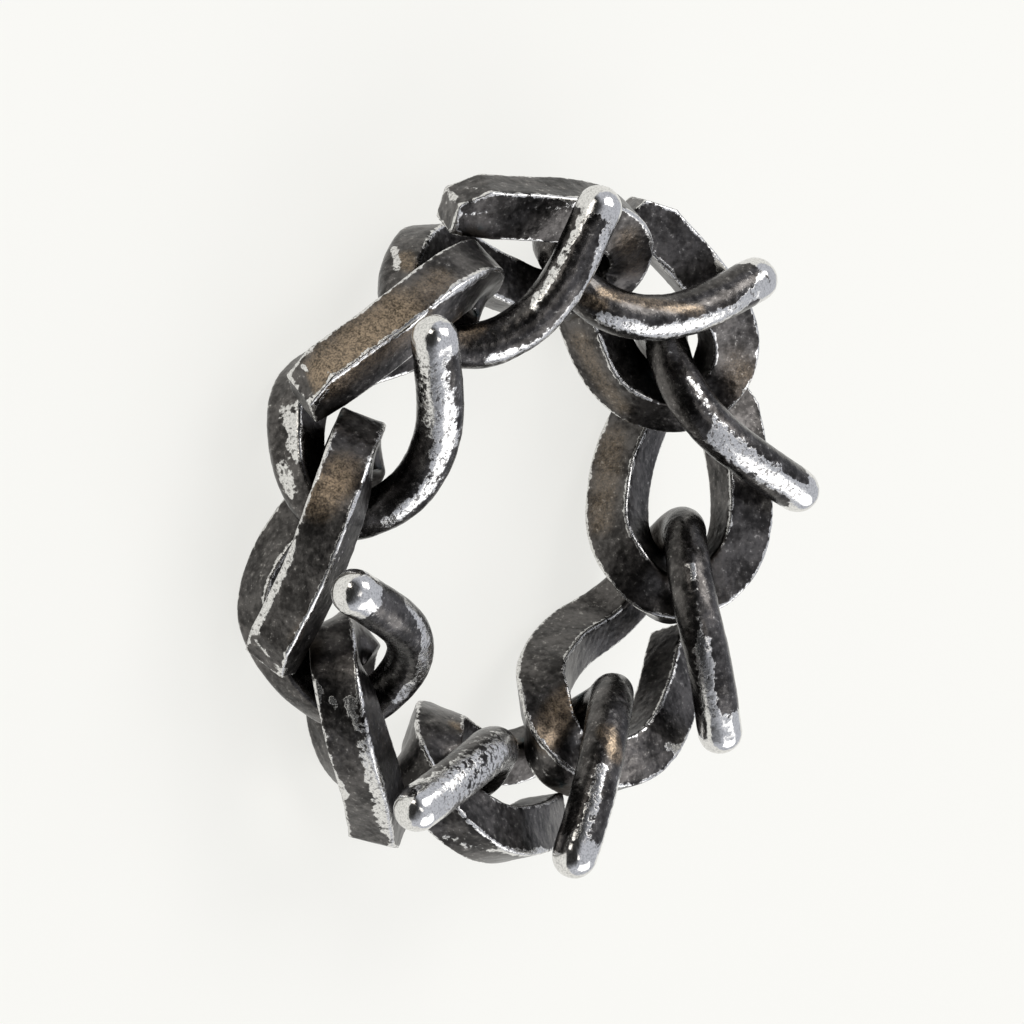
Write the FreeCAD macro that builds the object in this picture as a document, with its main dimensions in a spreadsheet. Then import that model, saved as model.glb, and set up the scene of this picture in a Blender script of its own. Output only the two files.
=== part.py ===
import FreeCAD, Part
import math
import os

from FreeCAD import Vector

os.makedirs("parts", exist_ok=True)
doc = FreeCAD.newDocument("ChainLinkRing")

# Driving sizes, in millimetres and degrees
SIZES = (
    ("bar_depth", "2.14"),
    ("bar_width", "2.32"),
    ("wire_diameter", "2.1"),
    ("edge_radius", "0.12"),
    ("bar_overhang", "1.0"),
    ("bevel_length", "1.35"),
    ("bevel_depth", "0.88"),
    ("centre_x", "-0.107"),
    ("centre_y", "0.036"),
    ("floor_offset", "0.815"),
)
sheet = doc.addObject("Spreadsheet::Sheet", "Sizes")
for row, (alias, value) in enumerate(SIZES, 1):
    sheet.set("A%d" % row, alias)
    sheet.set("B%d" % row, value)
    sheet.setAlias("B%d" % row, alias)
doc.recompute()

# Centre line of one link, from the cut end of its front bar, round the
# closed end, along the back and through the next link to the domed tip.
# turn: degrees round the finger from the tip, radius: from the finger's axis,
# height: above the back, twist: tilt of the inner face from facing outwards,
# outer and inner: how round the outer and the hole side edges are, 0 to 1,
# size: share of the full section, less where the link is squeezed through.
LINK_PATH = (
    # turn, radius, height, twist, outer, inner, size
    (14.0, 15.50, 3.70, 108, 0.0, 0.0, 1.0),
    (5.0, 14.75, 4.85, 105, 0.0, 0.0, 1.0),
    (-4.0, 14.45, 5.70, 111, 0.0, 0.0, 1.0),
    (-13.0, 14.15, 6.00, 116, 0.0, 0.0, 1.0),
    (-21.0, 13.50, 5.50, 124, 0.0, 0.0, 1.0),
    (-26.0, 12.50, 4.45, 146, 0.0, 0.0, 1.0),
    (-24.0, 11.10, 3.65, 176, 0.0, 0.0, 1.0),
    (-17.5, 10.25, 2.45, 172, 0.0, 0.0, 1.0),
    (-6.0, 10.60, 1.35, 166, 0.0, 0.0, 1.0),
    (4.5, 11.70, 0.75, 168, 0.1, 0.0, 1.0),
    (13.5, 12.90, 0.90, 175, 0.35, 0.05, 0.98),
    (22.5, 13.15, 1.65, 183, 0.7, 0.1, 0.95),
    (31.0, 12.85, 2.70, 183, 1.0, 0.2, 0.93),
    (35.5, 12.30, 3.95, 182, 1.0, 0.5, 0.93),
    (33.5, 11.05, 5.25, 184, 1.0, 1.0, 0.96),
    (26.5, 10.35, 6.45, 189, 1.0, 1.0, 1.0),
    (17.5, 10.65, 7.40, 196, 1.0, 1.0, 1.0),
    (10.0, 11.75, 8.05, 203, 1.0, 1.0, 1.0),
    (4.5, 13.25, 8.35, 211, 1.0, 1.0, 1.0),
    (0.0, 15.05, 8.50, 219, 1.0, 1.0, 1.0),
)

# How each link hangs in the chain and how long its front bar was left.
# tip: degrees round the finger to its domed tip, roll, pitch and yaw: small
# tilts in degrees about the link's own middle, out, along and up: small
# shifts, bar: length of the front bar beyond the first row of the path.
LINKS = (
    # name, tip, roll, pitch, yaw, out, along, up, bar
    ("link_1", 0, -1.5, 0.4, 0.6, 0.0, 0.05, 0.2, 0.6),
    ("link_2", 45, -0.8, -0.3, 0.1, -0.05, 0.05, 0.1, 0.6),
    ("link_3", 90, -1.3, 0.2, -0.2, 0.0, 0.1, -0.05, 0.6),
    ("link_4", 135, 0.0, 0.2, 1.0, 0.05, 0.05, -0.1, 0.6),
    ("link_5", 180, 0.1, -0.4, 0.8, -0.05, 0.05, -0.05, -0.9),
    ("link_6", 225, 1.0, 3.5, -1.1, -0.05, -0.2, -0.3, 0.1),
    ("link_7", 270, 0.5, -1.5, -1.9, -0.05, 0.1, -0.05, 0.6),
    ("link_8", 315, 1.8, -1.9, 1.0, 0.15, 0.0, 0.25, 0.6),
)


MIDDLE = Vector(12.6, -1.1, 3.95)
CORNER_TURNS = (15, 45, 75)
FLAT_SHARE = 0.02
MARGIN = 0.05
BEVEL_RUN = 1.4


def station(row):
    """Point of the centre line that a row of the path gives."""
    turn = math.radians(row[0])
    return Vector(row[1] * math.cos(turn), row[1] * math.sin(turn), row[2])


def section(centre, inward, outward, outer, inner, size):
    """Closed outline of four sides and four corners, square where outer and
    inner are 0 and round where they are 1."""
    edge = sheet.edge_radius * size
    cut_in = edge * (1 - math.sqrt(0.5))
    depth = sheet.bar_depth / 2 * size
    width = sheet.bar_width / 2 * size
    radius = sheet.wire_diameter / 2 * size

    def place(n, p):
        return centre + inward * n + outward * p

    corners = []
    for n, p, share in ((1, 1, outer), (-1, 1, outer), (-1, -1, inner), (1, -1, inner)):
        square = (
            (depth, width - edge),
            (depth - cut_in, width - cut_in),
            (depth - edge, width),
        )
        rounded = [
            (radius * math.cos(math.radians(a)), radius * math.sin(math.radians(a)))
            for a in CORNER_TURNS
        ]
        points = []
        for (x0, y0), (x1, y1) in zip(square, rounded):
            points.append(place(n * (x0 + (x1 - x0) * share), p * (y0 + (y1 - y0) * share)))
        if n * p < 0:
            points.reverse()
        corners.append((points, share))
    middles = (
        (0, 1, outer, width),
        (-1, 0, (outer + inner) / 2, depth),
        (0, -1, inner, width),
        (1, 0, (outer + inner) / 2, depth),
    )
    edges = []
    for k in range(4):
        points, share = corners[k]
        edges.append(Part.Arc(*points).toShape())
        start = points[2]
        end = corners[(k + 1) % 4][0][0]
        n, p, share, half = middles[k]
        if share > FLAT_SHARE:
            reach = half + (radius - half) * share
            edges.append(Part.Arc(start, place(n * reach, p * reach), end).toShape())
        else:
            edges.append(Part.LineSegment(start, end).toShape())
    return Part.Wire(edges)


def smooth(values, parameters, where):
    """Value between the rows of the path."""
    for k in range(len(parameters) - 1):
        if where <= parameters[k + 1] + 1e-9:
            part = (where - parameters[k]) / (parameters[k + 1] - parameters[k])
            return values[k] + (values[k + 1] - values[k]) * part
    return values[-1]


def frame(path, twist, where):
    """Centre, direction, inward and outward axes of the bar at one place."""
    centre = path.value(where)
    along = path.tangent(where)[0]
    around = math.atan2(centre.y, centre.x)
    out = Vector(math.cos(around), math.sin(around), 0)
    tilt = math.radians(twist)
    inward = out * math.cos(tilt) + Vector(0, 0, 1) * math.sin(tilt)
    inward = (inward - along * inward.dot(along)).normalize()
    return centre, along, inward, inward.cross(along)


# One link as a bar lofted through its sections
path = Part.BSplineCurve()
points = [station(row) for row in LINK_PATH]
lengths = [0.0]
for a, b in zip(points, points[1:]):
    lengths.append(lengths[-1] + a.distanceToPoint(b))
knots = [length / lengths[-1] for length in lengths]
path.interpolate(Points=points, Parameters=knots)
sections = []
centre, along, inward, outward = frame(path, LINK_PATH[0][3], knots[0])
bar_end = (centre, along, inward, outward)
for back in (sheet.bar_overhang, sheet.bar_overhang / 2):
    sections.append(section(centre - along * back, inward, outward, 0.0, 0.0, 1.0))
STEPS = 2
for k in range((len(LINK_PATH) - 1) * STEPS + 1):
    row, step = divmod(k, STEPS)
    where = knots[row]
    if step:
        where += (knots[row + 1] - knots[row]) * step / STEPS
    twist, outer, inner, size = (
        smooth([r[c] for r in LINK_PATH], knots, where) for c in (3, 4, 5, 6)
    )
    centre, along, inward, outward = frame(path, twist, where)
    sections.append(section(centre, inward, outward, outer, inner, size))
tip_end = (centre, along)

bar = doc.addObject("Part::Feature", "LinkBar")
bar.Shape = Part.makeLoft(sections, True, False)

# Domed tip of the wire
tip = doc.addObject("Part::Sphere", "LinkTip")
tip.setExpression("Radius", "Sizes.wire_diameter / 2")
tip.Placement = FreeCAD.Placement(tip_end[0], FreeCAD.Rotation())
blank = doc.addObject("Part::Fuse", "LinkBlank")
blank.Base = bar
blank.Tool = tip
doc.recompute()


def end_block(length):
    """Block that leaves the front bar's flat end, with its bevel on the outer face."""
    centre, along, inward, outward = bar_end
    top = sheet.bar_width / 2
    reach = sheet.bar_overhang - length + MARGIN
    side = sheet.bar_depth / 2 + MARGIN
    above = top + sheet.bevel_depth * (BEVEL_RUN - 1)
    origin = centre - along * length
    profile = (
        (0.0, -top - MARGIN),
        (0.0, top - sheet.bevel_depth),
        (sheet.bevel_length, top),
        (sheet.bevel_length * BEVEL_RUN, above),
        (-reach, above),
        (-reach, -top - MARGIN),
    )
    corners = [origin + along * x + outward * y - inward * side for x, y in profile]
    face = Part.Face(Part.makePolygon(corners + corners[:1]))
    return face.extrude(inward * side * 2)


blocks = {}
for name, tip_turn, roll, pitch, yaw, out, sideways, up, length in LINKS:
    if length not in blocks:
        block = doc.addObject("Part::Feature", "EndBlock%d" % (len(blocks) + 1))
        block.Shape = end_block(length)
        blocks[length] = block

# The eight links, each turned on by an equal step round the finger
for name, tip_turn, roll, pitch, yaw, out, sideways, up, length in LINKS:
    link = doc.addObject("Part::Cut", name)
    link.Label = name
    link.Base = blank
    link.Tool = blocks[length]
    tilt = Vector(roll, pitch, yaw)
    lean = FreeCAD.Placement(
        MIDDLE + Vector(out, sideways, up),
        FreeCAD.Rotation(tilt, tilt.Length),
    ).multiply(FreeCAD.Placement(-MIDDLE, FreeCAD.Rotation()))
    step = FreeCAD.Placement(
        Vector(sheet.centre_x, sheet.centre_y, sheet.floor_offset),
        FreeCAD.Rotation(Vector(0, 0, 1), tip_turn),
    )
    link.Placement = step.multiply(lean)
doc.recompute()

# Every object is sound before anything is written
names = [row[0] for row in LINKS]
for item in doc.Objects:
    if "Invalid" in item.State or "Error" in item.State:
        raise RuntimeError("%s did not compute" % item.Label)
for name in names:
    shape = doc.getObject(name).Shape
    if shape.isNull() or not shape.isValid() or len(shape.Solids) != 1:
        raise RuntimeError("%s is not one sound solid" % name)
box = FreeCAD.BoundBox()
for name in names:
    shape = doc.getObject(name).Shape
    box.add(shape.BoundBox)
    shape.exportStep("parts/%s.step" % name)
print("size %.2f x %.2f x %.2f mm" % (box.XLength, box.YLength, box.ZLength))
print("lowest %.3f" % box.ZMin)
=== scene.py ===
import math
from collections import namedtuple

import bpy
import numpy as np
from bpy.props import FloatProperty, FloatVectorProperty, IntProperty, PointerProperty
from bpy.types import Operator, Panel, PropertyGroup
from mathutils import Matrix, Vector
from mathutils.kdtree import KDTree


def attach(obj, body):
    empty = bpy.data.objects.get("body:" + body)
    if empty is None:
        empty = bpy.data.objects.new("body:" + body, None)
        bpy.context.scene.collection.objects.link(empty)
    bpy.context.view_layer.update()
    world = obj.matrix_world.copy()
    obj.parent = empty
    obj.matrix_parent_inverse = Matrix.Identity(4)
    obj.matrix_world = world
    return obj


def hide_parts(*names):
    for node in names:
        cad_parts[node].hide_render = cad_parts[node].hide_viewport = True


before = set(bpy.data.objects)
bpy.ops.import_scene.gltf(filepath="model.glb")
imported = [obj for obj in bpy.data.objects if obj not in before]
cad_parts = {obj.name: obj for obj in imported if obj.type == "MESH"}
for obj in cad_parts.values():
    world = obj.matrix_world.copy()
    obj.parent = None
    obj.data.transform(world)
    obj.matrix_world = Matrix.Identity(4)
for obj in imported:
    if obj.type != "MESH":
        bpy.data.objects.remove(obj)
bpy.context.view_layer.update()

bl_info = {
    "name": "Chain Link Ring",
    "version": (1, 0, 0),
    "blender": (4, 5, 0),
    "location": "View3D > Sidebar > Chain Ring",
    "description": "Dresses a ring of open curb links in blackened, rubbed silver",
    "category": "Object",
}

MM = 0.001
LINKS = ["link_%d" % number for number in range(1, 9)]
STEP = math.tau / len(LINKS)

# Centre line of one link in millimetres and degrees, seen from its own tip
CENTRE_LINE = (
    # turn, radius, height
    (16.0, 15.5, 4.2),
    (5.0, 14.7, 5.7),
    (-4.0, 14.4, 6.5),
    (-13.0, 14.1, 6.8),
    (-21.0, 13.5, 6.3),
    (-26.0, 12.5, 5.3),
    (-24.0, 11.1, 4.5),
    (-17.5, 10.2, 3.3),
    (-6.0, 10.6, 2.2),
    (4.5, 11.7, 1.6),
    (13.5, 12.9, 1.7),
    (22.5, 13.1, 2.5),
    (31.0, 12.8, 3.5),
    (35.5, 12.3, 4.8),
    (33.5, 11.0, 6.1),
    (26.5, 10.3, 7.3),
    (17.5, 10.6, 8.2),
    (10.0, 11.7, 8.9),
    (0.0, 15.0, 9.3),
)

# Furthest in millimetres that the metal lies from that line, and the shares of
# the line over which the bar turns into round wire and the wire into its tip
REACH = 1.7
ROUND_FROM = 0.58
ROUND_TO = 0.66
TIP_FROM = 0.975
TIP_TO = 0.998

# Reading wear off the mesh: how its softened copy is made, the height in
# millimetres that counts as a sharp edge, the least and the most edge wear,
# and the gaps between links in millimetres that count as closed and as open,
# which shelter the metal from wear and are darkened with painted shade
SOFT_PASSES = 14
SOFT_SHARE = 0.6
PROUD_PASSES = 3
EDGE_HEIGHT = 0.05
LEAST_EDGE = -1.0
MOST_EDGE = 1.2
GAP_CLOSED = 0.15
GAP_OPEN = 1.1
NEIGHBOUR_STEP = 3
MERGE_DISTANCE = 0.0001

# The square photo's size, the pixel that the ring's middle lies on, that
# middle in millimetres, and the width of the camera's sensor
PHOTO_SIZE = 1024
PHOTO_MIDDLE = (447.4, 503.9)
RING_MIDDLE = (-0.107, 0.036, 0.815)
SENSOR = 36.0

# Finding the metal that shows at a pixel: how squarely it faces the camera, how
# far off in pixels it may lie, and how deep in millimetres its front layer is
FACING = 0.05
NEAR_PIXELS = 3.0
SPARE_PIXELS = 1.5
FRONT_LAYER = 0.35

# Where the photo shows the metal rubbed, kept dark, stained brown or clean of
# the brown: strokes from one of its pixels to another, read off, with
# their reach to the sides in pixels and their strength. The script lays each
# on the surface of its link that shows there. A stroke is full up to the core
# and gone at the rim, both as shares of its reach.
STROKE_CORE = 0.2
STROKE_RIM = 1.6
Stroke = namedtuple("Stroke", "kind link from_x from_y to_x to_y reach strength")
STROKES = (
    Stroke("brown", 1, 625, 240, 635, 268, 14, 0.25),
    Stroke("brown", 1, 404, 256, 409, 266, 8, 0.6),
    Stroke("brown", 1, 465, 336, 478, 328, 8, 0.9),
    Stroke("kept", 1, 595, 230, 560, 300, 4, 0.35),
    Stroke("rubbed", 1, 475, 188, 489, 205, 4, 0.4),
    Stroke("rubbed", 1, 458, 214, 570, 206, 4, 0.35),
    Stroke("rubbed", 1, 448, 202, 468, 190, 9, 0.25),
    Stroke("rubbed", 1, 588, 208, 560, 262, 6, 0.35),
    Stroke("rubbed", 1, 560, 262, 532, 308, 6, 0.3),
    Stroke("rubbed", 1, 606, 235, 588, 290, 8, 0.6),
    Stroke("rubbed", 1, 588, 290, 545, 340, 9, 0.55),
    Stroke("rubbed", 1, 545, 340, 492, 360, 8, 0.45),
    Stroke("rubbed", 1, 640, 215, 653, 245, 4, 0.3),
    Stroke("rubbed", 1, 394, 248, 398, 268, 5, 0.35),
    Stroke("rubbed", 1, 456, 216, 459, 236, 4, 0.4),
    Stroke("brown", 2, 325, 372, 400, 312, 24, 1.0),
    Stroke("brown", 2, 400, 312, 440, 280, 14, 0.5),
    Stroke("clean", 2, 297, 377, 308, 405, 9, 1.0),
    Stroke("kept", 2, 395, 485, 418, 468, 11, 0.5),
    Stroke("rubbed", 2, 455, 290, 487, 271, 6, 0.5),
    Stroke("rubbed", 2, 303, 366, 329, 391, 3, 0.5),
    Stroke("rubbed", 2, 329, 391, 310, 411, 3, 0.5),
    Stroke("rubbed", 2, 286, 415, 296, 450, 12, 0.36),
    Stroke("rubbed", 2, 282, 466, 291, 492, 10, 0.26),
    Stroke("rubbed", 2, 432, 370, 447, 440, 17, 0.42),
    Stroke("rubbed", 2, 445, 440, 428, 488, 13, 0.38),
    Stroke("rubbed", 2, 430, 488, 388, 522, 8, 0.4),
    Stroke("rubbed", 2, 432, 330, 436, 350, 10, 0.25),
    Stroke("brown", 3, 320, 500, 343, 470, 17, 0.9),
    Stroke("brown", 3, 330, 590, 300, 640, 9, 0.25),
    Stroke("kept", 3, 385, 690, 400, 660, 9, 0.4),
    Stroke("rubbed", 3, 325, 448, 290, 560, 5, 0.4),
    Stroke("rubbed", 3, 290, 560, 256, 632, 5, 0.4),
    Stroke("rubbed", 3, 372, 460, 340, 560, 3, 0.35),
    Stroke("rubbed", 3, 340, 560, 304, 652, 3, 0.35),
    Stroke("rubbed", 3, 258, 642, 287, 672, 5, 0.4),
    Stroke("rubbed", 3, 408, 602, 427, 640, 6, 0.6),
    Stroke("rubbed", 3, 427, 640, 424, 673, 8, 0.6),
    Stroke("rubbed", 3, 424, 673, 398, 700, 7, 0.4),
    Stroke("rubbed", 4, 318, 690, 345, 795, 7, 0.5),
    Stroke("rubbed", 4, 349, 702, 371, 770, 8, 0.5),
    Stroke("rubbed", 4, 371, 770, 386, 832, 9, 0.55),
    Stroke("rubbed", 4, 331, 699, 335, 707, 5, 0.5),
    Stroke("rubbed", 4, 432, 798, 512, 742, 18, 0.42),
    Stroke("brown", 5, 456, 724, 466, 731, 7, 0.8),
    Stroke("brown", 5, 607, 732, 617, 755, 9, 0.8),
    Stroke("rubbed", 5, 447, 838, 500, 853, 7, 0.4),
    Stroke("rubbed", 5, 500, 853, 544, 850, 7, 0.35),
    Stroke("rubbed", 5, 602, 770, 577, 850, 8, 0.4),
    Stroke("rubbed", 5, 620, 785, 600, 862, 5, 0.45),
    Stroke("brown", 6, 545, 735, 568, 700, 15, 1.0),
    Stroke("rubbed", 6, 532, 748, 548, 776, 3, 0.4),
    Stroke("rubbed", 6, 668, 657, 677, 712, 3, 0.4),
    Stroke("rubbed", 6, 667, 746, 686, 752, 6, 0.45),
    Stroke("rubbed", 6, 703, 645, 713, 735, 9, 0.6),
    Stroke("rubbed", 6, 692, 565, 702, 645, 5, 0.3),
    Stroke("brown", 7, 612, 440, 600, 520, 15, 0.3),
    Stroke("kept", 7, 785, 470, 806, 481, 4, 0.3),
    Stroke("rubbed", 7, 720, 440, 798, 492, 12, 0.55),
    Stroke("rubbed", 7, 692, 380, 722, 434, 6, 0.28),
    Stroke("brown", 8, 602, 292, 700, 312, 6, 0.6),
    Stroke("brown", 8, 725, 322, 745, 388, 18, 0.25),
    Stroke("brown", 8, 580, 340, 620, 405, 12, 0.3),
    Stroke("brown", 8, 585, 300, 602, 305, 6, 0.7),
    Stroke("kept", 8, 625, 309, 735, 297, 5, 0.4),
    Stroke("kept", 8, 750, 266, 768, 280, 6, 0.5),
    Stroke("rubbed", 8, 602, 318, 660, 333, 8, 0.55),
    Stroke("rubbed", 8, 660, 333, 728, 314, 9, 0.65),
    Stroke("rubbed", 8, 728, 314, 762, 288, 8, 0.5),
    Stroke("rubbed", 8, 690, 250, 722, 262, 4, 0.2),
)

# Repeats of the noise patterns in a metre
BLOTCH_SCALE = 700.0
SPECK_SCALE = 3600.0
PIT_SCALE = 5200.0
GRAIN_SCALE = 11000.0
NOISE_ROUGHNESS = 0.6

# What each mark adds to the wear, and how it is spread by chance
WIRE_WEAR = 0.2
TIP_WEAR = 0.9
STROKE_WEAR = 1.4
GAP_SHELTER = 0.9
WIRE_SHELTER = 0.85
BLOTCH_CHANCE = 0.9
SPECK_CHANCE = 1.2
CHANCE_LEVEL = 1.05
PIT_DEPTH = 0.75

# Where each soft step of the material starts and ends
BRIGHT = (0.50, 0.62)
PITTED = (0.55, 0.63)
CLOUDED = (0.38, 0.62)
FLECKED = (0.58, 0.66)
STAINED = (0.55, 0.95)
# Closeness of the next link over which painted shade and teal tarnish come in
GAP_SHADE_AND_TARNISH = (0.15, 0.85)
TARNISHED = (0.55, 0.66)
GRAINED = (0.25, 0.6)
FLECK = (0.5, 0.48, 0.45)
TARNISH = (0.02, 0.07, 0.085)

# Relief of the material, in millimetres, and how far the polished tip loses it
BUMP_HEIGHT = 0.06
BUMP_STRENGTH = 0.38
TIP_POLISH = 0.26

# Softboxes by their place in the picture: to the right, up and towards the
# camera, with their size and distance in millimetres
SOFTBOXES = (
    # name, right, up, back, width, height, distance, brightness, colour
    ("key", 0.73, 0.51, 0.45, 260, 200, 420, 4.0, (1.0, 0.98, 0.95)),
    ("low_panel", 0.62, -0.75, 0.10, 420, 300, 420, 1.6, (1.0, 0.99, 0.97)),
    ("fill", -0.35, 0.52, 0.78, 120, 120, 420, 2.4, (1.0, 0.96, 0.9)),
    ("front", 0.34, -0.12, 0.93, 130, 100, 420, 1.5, (1.0, 0.97, 0.93)),
)

# The room is bright all round but for a dark side by the camera
ROOM = (0.6, 0.62, 0.68)
DARK_SIDE = (0.035, 0.035, 0.035)
DARK_SIDE_PLACE = (-0.62, 0.1, 0.75)
DARK_SIDE_EDGE = (0.15, 0.8)


class MetalSettings(PropertyGroup):
    """Sizes and colours of the blackened silver"""

    voxel: FloatProperty(
        name="Voxel", description="Grain of the remeshed surface in millimetres", default=0.085
    )
    rounding: IntProperty(
        name="Rounding", description="Passes that soften the edges", default=3
    )
    hammer: FloatProperty(
        name="Hammer marks", description="Height of the uneven surface in millimetres", default=0.07
    )
    hammer_size: FloatProperty(
        name="Hammer size", description="Width of the uneven spots in millimetres", default=1.1
    )
    pitting: FloatProperty(
        name="Pitting", description="Height of the fine pits in millimetres", default=0.02
    )
    pit_size: FloatProperty(
        name="Pit size", description="Width of the fine pits in millimetres", default=0.22
    )
    black: FloatVectorProperty(
        name="Black", description="Blackened face", subtype="COLOR", default=(0.081, 0.076, 0.073)
    )
    # Recess colour is painted shade, laid on the faces where the next link comes close
    recess_shade: FloatVectorProperty(
        name="Recess", description="Deep gap between links", subtype="COLOR",
        default=(0.032, 0.027, 0.023),
    )
    brown: FloatVectorProperty(
        name="Brown", description="Golden brown stain", subtype="COLOR", default=(0.2, 0.155, 0.11)
    )
    silver: FloatVectorProperty(
        name="Silver", description="Rubbed metal", subtype="COLOR", default=(0.77, 0.76, 0.74)
    )
    black_roughness: FloatProperty(
        name="Black roughness", description="Roughness of the blackened face",
        subtype="FACTOR", min=0.0, max=1.0, default=0.33,
    )
    silver_roughness: FloatProperty(
        name="Silver roughness", description="Roughness of the rubbed metal",
        subtype="FACTOR", min=0.0, max=1.0, default=0.2,
    )


class StageSettings(PropertyGroup):
    """Camera, floor and lights"""

    elevation: FloatProperty(
        name="Elevation", description="Camera above the floor in degrees", default=40.83
    )
    azimuth: FloatProperty(
        name="Azimuth", description="Side that the camera stands on, in degrees", default=72.7
    )
    roll: FloatProperty(
        name="Roll", description="Turn of the picture about the line of sight, in degrees",
        default=13.4,
    )
    distance: FloatProperty(
        name="Distance", description="Camera to the ring's middle in millimetres", default=284.0
    )
    lens: FloatProperty(name="Lens", description="Focal length in millimetres", default=217.3)
    floor_size: FloatProperty(
        name="Floor", description="Width of the floor in millimetres", default=1600.0
    )
    floor_colour: FloatVectorProperty(
        name="Floor colour", description="Pale floor", subtype="COLOR", default=(1.0, 0.995, 0.955)
    )
    floor_shade: FloatProperty(
        name="Floor shade", description="Share of the light that the floor throws back",
        subtype="FACTOR", min=0.0, max=1.0, default=0.2,
    )
    floor_glow: FloatProperty(
        name="Floor glow", description="Light that the floor gives of itself", default=0.76
    )


def smooth_step(values, low, high):
    """0 below low, 1 above high and a soft step in between."""
    share = np.clip((values - low) / (high - low), 0.0, 1.0)
    return share * share * (3.0 - 2.0 * share)


def apply_modifier(piece, kind, name, **settings):
    """One modifier, set up and applied at once."""
    modifier = piece.modifiers.new(name, kind)
    for key, value in settings.items():
        setattr(modifier, key, value)
    bpy.ops.object.modifier_apply(modifier=modifier.name)


def clouds(name, size):
    """A soft noise to displace with."""
    texture = bpy.data.textures.new(name, "CLOUDS")
    texture.noise_scale = size
    texture.noise_depth = 2
    return texture


def neighbour_mean(values, edges, counts):
    """Each vertex's mean of its neighbours."""
    total = np.zeros_like(values)
    np.add.at(total, edges[:, 0], values[edges[:, 1]])
    np.add.at(total, edges[:, 1], values[edges[:, 0]])
    return total / counts[:, None]


def edge_share(mesh, points, normals):
    """How far each point stands out of its softened surroundings, 1 on a sharp edge."""
    edges = np.zeros(len(mesh.edges) * 2, np.int32)
    mesh.edges.foreach_get("vertices", edges)
    edges = edges.reshape(-1, 2)
    counts = np.bincount(edges.ravel(), minlength=len(points)).astype(float)
    soft = points.copy()
    for _ in range(SOFT_PASSES):
        soft = soft * (1.0 - SOFT_SHARE) + neighbour_mean(soft, edges, counts) * SOFT_SHARE
    proud = ((points - soft) * normals).sum(1)[:, None]
    for _ in range(PROUD_PASSES):
        proud = neighbour_mean(proud, edges, counts)
    return np.clip(proud[:, 0] / EDGE_HEIGHT, LEAST_EDGE, MOST_EDGE)


def centre_line(number):
    """Points of one link's centre line."""
    turned = STEP * (number - 1)
    points = []
    for turn, radius, height in CENTRE_LINE:
        angle = math.radians(turn) + turned
        points.append((radius * math.cos(angle), radius * math.sin(angle), height))
    return np.array(points)


def along_share(points, line):
    """How far along its link's centre line each point lies, 0 to 1."""
    lengths = np.linalg.norm(np.diff(line, axis=0), axis=1)
    starts = np.concatenate([[0.0], np.cumsum(lengths)])
    best = np.full(len(points), np.inf)
    share = np.zeros(len(points))
    for k, length in enumerate(lengths):
        run = line[k + 1] - line[k]
        part = np.clip(((points - line[k]) @ run) / (run @ run), 0.0, 1.0)
        away = np.linalg.norm(points - (line[k] + part[:, None] * run), axis=1)
        nearer = away < best
        best[nearer] = away[nearer]
        share[nearer] = ((starts[k] + part * length) / starts[-1])[nearer]
    share[best > REACH] = 0.0
    return share


def camera_axes(stage):
    """Right, up and back of the picture, with the roll that the photo has."""
    around = math.radians(stage.azimuth)
    lift = math.radians(stage.elevation)
    flat = Vector((math.cos(around), math.sin(around), 0.0))
    back = flat * math.cos(lift) + Vector((0.0, 0.0, math.sin(lift)))
    side = Vector((math.sin(around), -math.cos(around), 0.0))
    steep = back.cross(side) * -1.0
    roll = math.radians(stage.roll)
    right = steep * math.cos(roll) + side * math.sin(roll)
    up = side * math.cos(roll) - steep * math.sin(roll)
    return right, up, back


def photo_view(points, normals, stage):
    """Pixel of the photo and depth of each point, and whether it faces the camera."""
    right, up, back = (np.array(axis) for axis in camera_axes(stage))
    away = points - (np.array(RING_MIDDLE) + back * stage.distance)
    depth = -(away @ back)
    zoom = stage.lens / SENSOR * PHOTO_SIZE / depth
    x = PHOTO_MIDDLE[0] + zoom * (away @ right)
    y = PHOTO_MIDDLE[1] - zoom * (away @ up)
    facing = -(normals * away).sum(1) > FACING * np.linalg.norm(away, axis=1)
    return x, y, depth, facing


def surface_at(pixel_x, pixel_y, view, points):
    """Point of the link's surface that shows at one pixel of the photo."""
    x, y, depth, facing = view
    across = np.hypot(x - pixel_x, y - pixel_y)
    across[~facing] = np.inf
    near = across < max(across.min() + SPARE_PIXELS, NEAR_PIXELS)
    near &= depth < depth[near].min() + FRONT_LAYER
    return points[near].mean(axis=0)


def link_strokes(number, points, normals, stage):
    """One link's strokes in millimetres, laid on the surface that the photo shows."""
    view = photo_view(points, normals, stage)
    pixel = stage.distance * SENSOR / (stage.lens * PHOTO_SIZE)
    placed = []
    for stroke in STROKES:
        if stroke.link == number:
            start = surface_at(stroke.from_x, stroke.from_y, view, points)
            end = surface_at(stroke.to_x, stroke.to_y, view, points)
            placed.append((stroke.kind, start, end, stroke.reach * pixel, stroke.strength))
    return placed


def stroke_share(points, strokes, kind):
    """Strength of one kind of stroke at each point of one link."""
    total = np.zeros(len(points))
    for stroke_kind, start, end, reach, strength in strokes:
        if stroke_kind != kind:
            continue
        run = end - start
        part = np.clip(((points - start) @ run) / (run @ run), 0.0, 1.0)
        away = np.linalg.norm(points - (start + part[:, None] * run), axis=1)
        fade = smooth_step(away, reach * STROKE_CORE, reach * STROKE_RIM)
        total = np.maximum(total, strength * (1.0 - fade))
    return total


def gap_share(number, places):
    """How close the next link on either side is to each point, 1 where they meet."""
    neighbours = (places[number % len(LINKS)][0], places[number - 2][0])
    near = np.concatenate(neighbours)[::NEIGHBOUR_STEP]
    tree = KDTree(len(near))
    for k, point in enumerate(near):
        tree.insert(point, k)
    tree.balance()
    away = np.array([tree.find(point)[2] for point in places[number - 1][0]])
    return 1.0 - smooth_step(away, GAP_CLOSED, GAP_OPEN)


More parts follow.
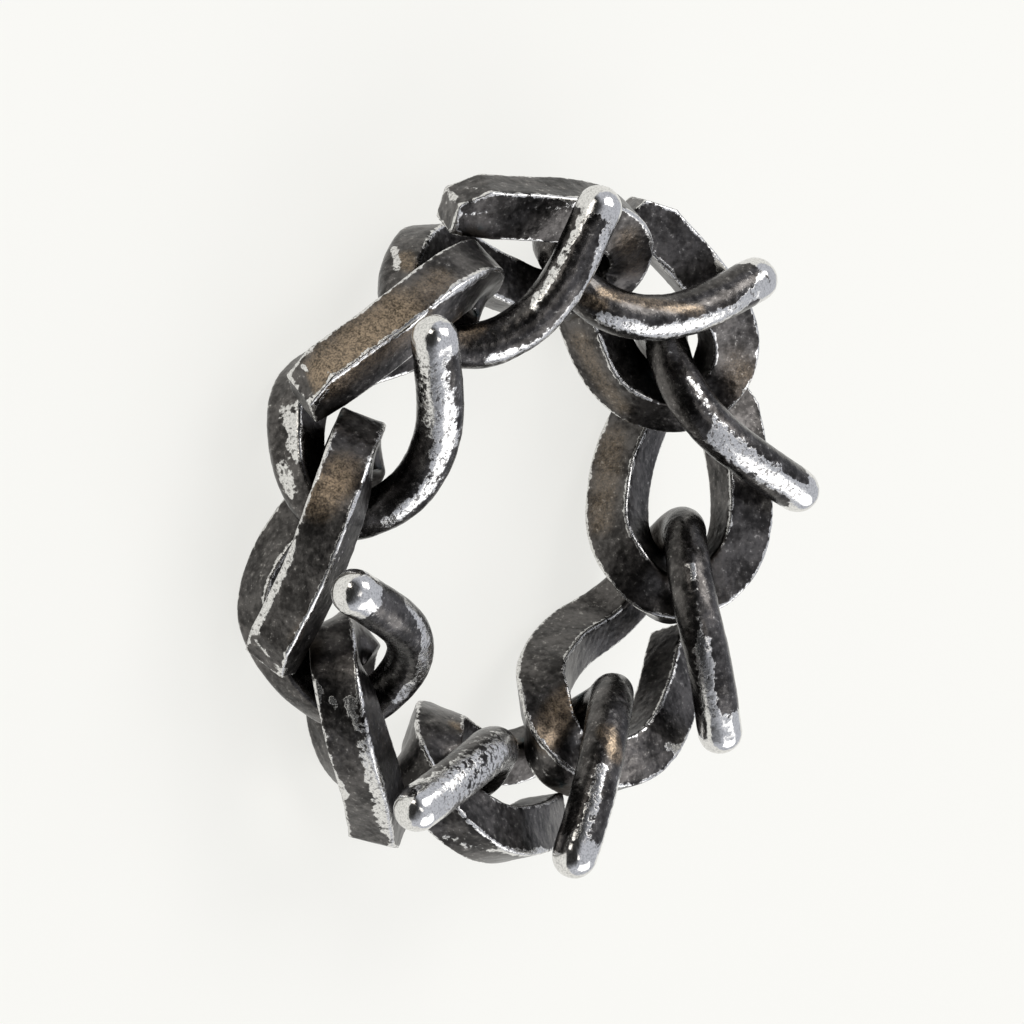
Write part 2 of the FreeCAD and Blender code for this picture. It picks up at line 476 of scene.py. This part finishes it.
def store(mesh, name, values):
    """One number a vertex, for the material to read."""
    attribute = mesh.attributes.new(name, "FLOAT", "POINT")
    attribute.data.foreach_set("value", np.asarray(values, np.float32))


def points_of(mesh):
    """Vertices and their normals as arrays."""
    points = np.zeros(len(mesh.vertices) * 3)
    normals = np.zeros(len(mesh.vertices) * 3, np.float32)
    mesh.vertices.foreach_get("co", points)
    mesh.vertex_normals.foreach_get("vector", normals)
    return points.reshape(-1, 3), normals.reshape(-1, 3).astype(float)


def link_piece(name, settings, hammer, pits):
    """One link in millimetres as an even mesh, with soft edges and uneven faces."""
    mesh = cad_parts[name].data.copy()
    mesh.name = name + "_metal"
    mesh.transform(Matrix.Scale(1.0 / MM, 4))
    piece = bpy.data.objects.new(name + "_metal", mesh)
    bpy.context.scene.collection.objects.link(piece)
    bpy.ops.object.select_all(action="DESELECT")
    piece.select_set(True)
    bpy.context.view_layer.objects.active = piece
    bpy.ops.object.mode_set(mode="EDIT")
    bpy.ops.mesh.select_all(action="SELECT")
    bpy.ops.mesh.remove_doubles(threshold=MERGE_DISTANCE)
    bpy.ops.object.mode_set(mode="OBJECT")
    apply_modifier(piece, "REMESH", "Even", mode="VOXEL", voxel_size=settings.voxel)
    apply_modifier(piece, "SMOOTH", "Soften", factor=0.5, iterations=settings.rounding)
    for label, texture, height in (("Hammer", hammer, settings.hammer), ("Pits", pits, settings.pitting)):
        apply_modifier(piece, "DISPLACE", label, texture=texture, strength=height,
                       mid_level=0.5, texture_coords="LOCAL")
    bpy.ops.object.shade_smooth()
    return piece


def mark_wear(piece, number, places, stage):
    """Store on one link where it is worn, rubbed, stained and sheltered, and where the painted shade
    between links falls.
    """
    points, normals = places[number - 1]
    share = along_share(points, centre_line(number))
    strokes = link_strokes(number, points, normals, stage)
    rubbed = stroke_share(points, strokes, "rubbed") - stroke_share(points, strokes, "kept")
    brown = stroke_share(points, strokes, "brown") - stroke_share(points, strokes, "clean")
    store(piece.data, "edge", edge_share(piece.data, points, normals))
    store(piece.data, "wire", smooth_step(share, ROUND_FROM, ROUND_TO))
    store(piece.data, "tip", smooth_step(share, TIP_FROM, TIP_TO))
    store(piece.data, "gap", gap_share(number, places))
    store(piece.data, "rubbed", rubbed)
    store(piece.data, "brown", np.clip(brown, 0.0, 1.0))


class Nodes:
    """Short ways to add shader nodes."""

    def __init__(self, tree):
        self.tree = tree
        tree.nodes.clear()

    def add(self, kind, **settings):
        node = self.tree.nodes.new(kind)
        for key, value in settings.items():
            setattr(node, key, value)
        return node

    def put(self, socket, value):
        if isinstance(value, bpy.types.NodeSocket):
            self.tree.links.new(value, socket)
        else:
            socket.default_value = value

    def maths(self, operation, first, second, clamp=False):
        node = self.add("ShaderNodeMath", operation=operation, use_clamp=clamp)
        self.put(node.inputs[0], first)
        self.put(node.inputs[1], second)
        return node.outputs[0]

    def plus(self, first, second):
        return self.maths("ADD", first, second)

    def minus(self, first, second):
        return self.maths("SUBTRACT", first, second)

    def times(self, first, second):
        return self.maths("MULTIPLY", first, second)

    def mix(self, share, first, second):
        node = self.add("ShaderNodeMix", data_type="RGBA")
        self.put(node.inputs["Factor"], share)
        self.put(node.inputs[6], first)
        self.put(node.inputs[7], second)
        return node.outputs[2]

    def blend(self, share, first, second):
        node = self.add("ShaderNodeMix", data_type="FLOAT")
        self.put(node.inputs["Factor"], share)
        self.put(node.inputs[2], first)
        self.put(node.inputs[3], second)
        return node.outputs[0]

    def step(self, value, low, high):
        node = self.add("ShaderNodeMapRange", interpolation_type="SMOOTHSTEP")
        self.put(node.inputs["Value"], value)
        node.inputs["From Min"].default_value = low
        node.inputs["From Max"].default_value = high
        return node.outputs["Result"]

    def noise(self, place, scale, detail):
        node = self.add("ShaderNodeTexNoise")
        self.put(node.inputs["Vector"], place)
        node.inputs["Scale"].default_value = scale
        node.inputs["Detail"].default_value = detail
        node.inputs["Roughness"].default_value = NOISE_ROUGHNESS
        return node.outputs["Fac"]

    def attribute(self, name):
        return self.add("ShaderNodeAttribute", attribute_name=name).outputs["Fac"]


def colour(values, share=1.0):
    """A colour, darker or lighter by a share, with its alpha."""
    return (*(value * share for value in values), 1.0)


def bright_share(nodes, place, marks, blotch, speck):
    """Where the black is rubbed off: edges first, then the wire in patches, then the tip."""
    chance = nodes.plus(nodes.times(blotch, BLOTCH_CHANCE), nodes.times(speck, SPECK_CHANCE))
    chance = nodes.minus(chance, CHANCE_LEVEL)
    open_edge = nodes.minus(1.0, nodes.times(marks["wire"], WIRE_SHELTER))
    wear = nodes.times(marks["edge"], open_edge)
    wear = nodes.plus(wear, nodes.times(marks["wire"], WIRE_WEAR))
    wear = nodes.plus(wear, nodes.times(marks["tip"], TIP_WEAR))
    wear = nodes.plus(wear, nodes.times(marks["rubbed"], STROKE_WEAR))
    wear = nodes.plus(wear, chance)
    wear = nodes.minus(wear, nodes.times(marks["gap"], GAP_SHELTER))
    pits = nodes.step(nodes.noise(place, PIT_SCALE, 3.0), *PITTED)
    pits = nodes.times(pits, nodes.minus(PIT_DEPTH, nodes.times(marks["tip"], PIT_DEPTH)))
    return nodes.times(nodes.step(wear, *BRIGHT), nodes.minus(1.0, pits))


def dark_face(nodes, settings, marks, blotch, speck, grain):
    """Blackened face with lighter and darker clouds, pale specks, brown stains, painted shade and teal
    tarnish where the next links come close.
    """
    cloud = nodes.step(nodes.plus(nodes.times(blotch, 0.6), nodes.times(speck, 0.4)), *CLOUDED)
    face = nodes.mix(cloud, colour(settings.black, 0.4), colour(settings.black, 1.6))
    fleck = nodes.step(nodes.plus(nodes.times(speck, 0.55), nodes.times(grain, 0.45)), *FLECKED)
    face = nodes.mix(nodes.times(fleck, 0.6), face, colour(FLECK))
    face = nodes.mix(nodes.times(marks["brown"], 0.7), face, colour(settings.brown, 0.55))
    stain = nodes.step(nodes.plus(grain, nodes.times(speck, 0.5)), *STAINED)
    face = nodes.mix(nodes.times(marks["brown"], stain), face, colour(settings.brown, 2.0))
    # Painted shade: the face darkens to the recess colour where the next link comes close; the same mask
    # places the teal tarnish
    deep = nodes.step(marks["gap"], *GAP_SHADE_AND_TARNISH)
    face = nodes.mix(deep, face, colour(settings.recess_shade))
    tarnish = nodes.times(nodes.times(deep, 0.55), nodes.step(blotch, *TARNISHED))
    return nodes.mix(tarnish, face, colour(TARNISH))


def blackened_silver(settings):
    """Blackened silver, rubbed bright on edges and wires, darkened by painted shade and tarnished in the
    gaps between links.
    """
    material = bpy.data.materials.new("blackened_silver")
    material.use_nodes = True
    nodes = Nodes(material.node_tree)
    place = nodes.add("ShaderNodeTexCoord").outputs["Object"]
    blotch = nodes.noise(place, BLOTCH_SCALE, 5.0)
    speck = nodes.noise(place, SPECK_SCALE, 4.0)
    grain = nodes.noise(place, GRAIN_SCALE, 3.0)
    names = ("edge", "wire", "tip", "gap", "rubbed", "brown")
    marks = {name: nodes.attribute(name) for name in names}

    bright = bright_share(nodes, place, marks, blotch, speck)
    dark = dark_face(nodes, settings, marks, blotch, speck, grain)
    grained = nodes.step(grain, *GRAINED)
    silver = nodes.mix(grained, colour(settings.silver, 0.62), colour(settings.silver))

    rough = nodes.blend(bright, settings.black_roughness, settings.silver_roughness)
    rough = nodes.plus(rough, nodes.times(nodes.minus(speck, 0.5), 0.25))
    rough = nodes.maths("SUBTRACT", rough, nodes.times(marks["wire"], 0.07), clamp=True)

    relief = nodes.plus(nodes.times(speck, 0.7), nodes.times(grain, 0.3))
    relief = nodes.plus(relief, nodes.times(bright, 0.35))
    bump = nodes.add("ShaderNodeBump")
    strength = nodes.minus(BUMP_STRENGTH, nodes.times(marks["tip"], TIP_POLISH))
    nodes.put(bump.inputs["Strength"], strength)
    bump.inputs["Distance"].default_value = BUMP_HEIGHT * MM
    nodes.put(bump.inputs["Height"], relief)

    shader = nodes.add("ShaderNodeBsdfPrincipled")
    shader.inputs["Metallic"].default_value = 1.0
    nodes.put(shader.inputs["Base Color"], nodes.mix(bright, dark, silver))
    nodes.put(shader.inputs["Roughness"], rough)
    nodes.put(shader.inputs["Normal"], bump.outputs["Normal"])
    nodes.put(nodes.add("ShaderNodeOutputMaterial").inputs["Surface"], shader.outputs["BSDF"])
    return material


def floor_material(settings):
    """Pale matt floor that glows a little."""
    material = bpy.data.materials.new("floor")
    material.use_nodes = True
    nodes = Nodes(material.node_tree)
    shader = nodes.add("ShaderNodeBsdfPrincipled")
    shader.inputs["Base Color"].default_value = colour(settings.floor_colour, settings.floor_shade)
    shader.inputs["Roughness"].default_value = 0.9
    shader.inputs["Specular IOR Level"].default_value = 0.0
    shader.inputs["Emission Color"].default_value = colour(settings.floor_colour)
    shader.inputs["Emission Strength"].default_value = settings.floor_glow
    nodes.put(nodes.add("ShaderNodeOutputMaterial").inputs["Surface"], shader.outputs["BSDF"])
    return material


def studio(right, up, back):
    """A bright room with a dark side by the camera, which the metal mirrors."""
    world = bpy.data.worlds.new("Studio")
    world.use_nodes = True
    nodes = Nodes(world.node_tree)
    to_right, to_up, to_back = DARK_SIDE_PLACE
    facing = nodes.add("ShaderNodeVectorMath", operation="DOT_PRODUCT")
    nodes.put(facing.inputs[0], nodes.add("ShaderNodeTexCoord").outputs["Generated"])
    facing.inputs[1].default_value = (back * to_back + right * to_right + up * to_up).normalized()
    side = nodes.step(facing.outputs["Value"], *DARK_SIDE_EDGE)
    background = nodes.add("ShaderNodeBackground")
    nodes.put(background.inputs["Color"], nodes.mix(side, colour(ROOM), colour(DARK_SIDE)))
    background.inputs["Strength"].default_value = 1.0
    nodes.put(nodes.add("ShaderNodeOutputWorld").inputs["Surface"], background.outputs["Background"])
    return world


class CHAINRING_OT_links(Operator):
    """Model the eight links in rubbed, blackened silver"""

    bl_idname = "chainring.links"
    bl_label = "Links"

    def execute(self, context):
        settings = context.scene.chain_metal
        material = blackened_silver(settings)
        hammer = clouds("hammer", settings.hammer_size)
        pits = clouds("pits", settings.pit_size)
        pieces = [link_piece(name, settings, hammer, pits) for name in LINKS]
        places = [points_of(piece.data) for piece in pieces]
        for number, piece in enumerate(pieces, 1):
            mark_wear(piece, number, places, context.scene.chain_stage)
            piece.data.transform(Matrix.Scale(MM, 4))
            piece.data.materials.clear()
            piece.data.materials.append(material)
            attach(piece, "root")
            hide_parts(LINKS[number - 1])
        return {"FINISHED"}


class CHAINRING_OT_stage(Operator):
    """Set up the camera, the pale floor and the soft light"""

    bl_idname = "chainring.stage"
    bl_label = "Stage"

    def execute(self, context):
        settings = context.scene.chain_stage
        middle = Vector(RING_MIDDLE) * MM
        right, up, back = camera_axes(settings)

        bpy.ops.object.select_all(action="DESELECT")
        bpy.ops.object.camera_add()
        camera = context.active_object
        camera.name = "Camera"
        turned = Matrix((right, up, back)).transposed().to_4x4()
        camera.matrix_world = Matrix.Translation(middle + back * settings.distance * MM) @ turned
        camera.data.lens = settings.lens
        camera.data.sensor_width = SENSOR
        camera.data.shift_x = 0.5 - PHOTO_MIDDLE[0] / PHOTO_SIZE
        camera.data.shift_y = PHOTO_MIDDLE[1] / PHOTO_SIZE - 0.5
        camera.data.clip_start = 0.01
        context.scene.camera = camera

        bpy.ops.mesh.primitive_plane_add(size=settings.floor_size * MM)
        floor = context.active_object
        floor.name = "Floor"
        floor.data.materials.append(floor_material(settings))

        for name, to_right, to_up, to_back, width, height, distance, brightness, tint in SOFTBOXES:
            way = (right * to_right + up * to_up + back * to_back).normalized()
            bpy.ops.object.light_add(type="AREA")
            lamp = context.active_object
            lamp.name = name
            lamp.data.shape = "RECTANGLE"
            lamp.data.size = width * MM
            lamp.data.size_y = height * MM
            lamp.data.energy = brightness * width * height * MM * MM * math.pi
            lamp.data.color = tint
            aimed = way.to_track_quat("Z", "Y").to_matrix().to_4x4()
            lamp.matrix_world = Matrix.Translation(middle + way * distance * MM) @ aimed

        context.scene.world = studio(right, up, back)
        context.scene.view_settings.view_transform = "Standard"
        return {"FINISHED"}


class CHAINRING_PT_panel(Panel):
    """Buttons of the chain ring"""

    bl_idname = "CHAINRING_PT_panel"
    bl_label = "Chain Link Ring"
    bl_space_type = "VIEW_3D"
    bl_region_type = "UI"
    bl_category = "Chain Ring"

    def draw(self, context):
        for key in MetalSettings.__annotations__:
            self.layout.prop(context.scene.chain_metal, key)
        self.layout.operator(CHAINRING_OT_links.bl_idname)
        for key in StageSettings.__annotations__:
            self.layout.prop(context.scene.chain_stage, key)
        self.layout.operator(CHAINRING_OT_stage.bl_idname)


CLASSES = (
    MetalSettings,
    StageSettings,
    CHAINRING_OT_links,
    CHAINRING_OT_stage,
    CHAINRING_PT_panel,
)


def register():
    for kind in CLASSES:
        bpy.utils.register_class(kind)
    bpy.types.Scene.chain_metal = PointerProperty(type=MetalSettings)
    bpy.types.Scene.chain_stage = PointerProperty(type=StageSettings)


def unregister():
    del bpy.types.Scene.chain_stage
    del bpy.types.Scene.chain_metal
    for kind in reversed(CLASSES):
        bpy.utils.unregister_class(kind)


def main():
    register()
    bpy.ops.chainring.links()
    bpy.ops.chainring.stage()


if __name__ == "__main__":
    main()
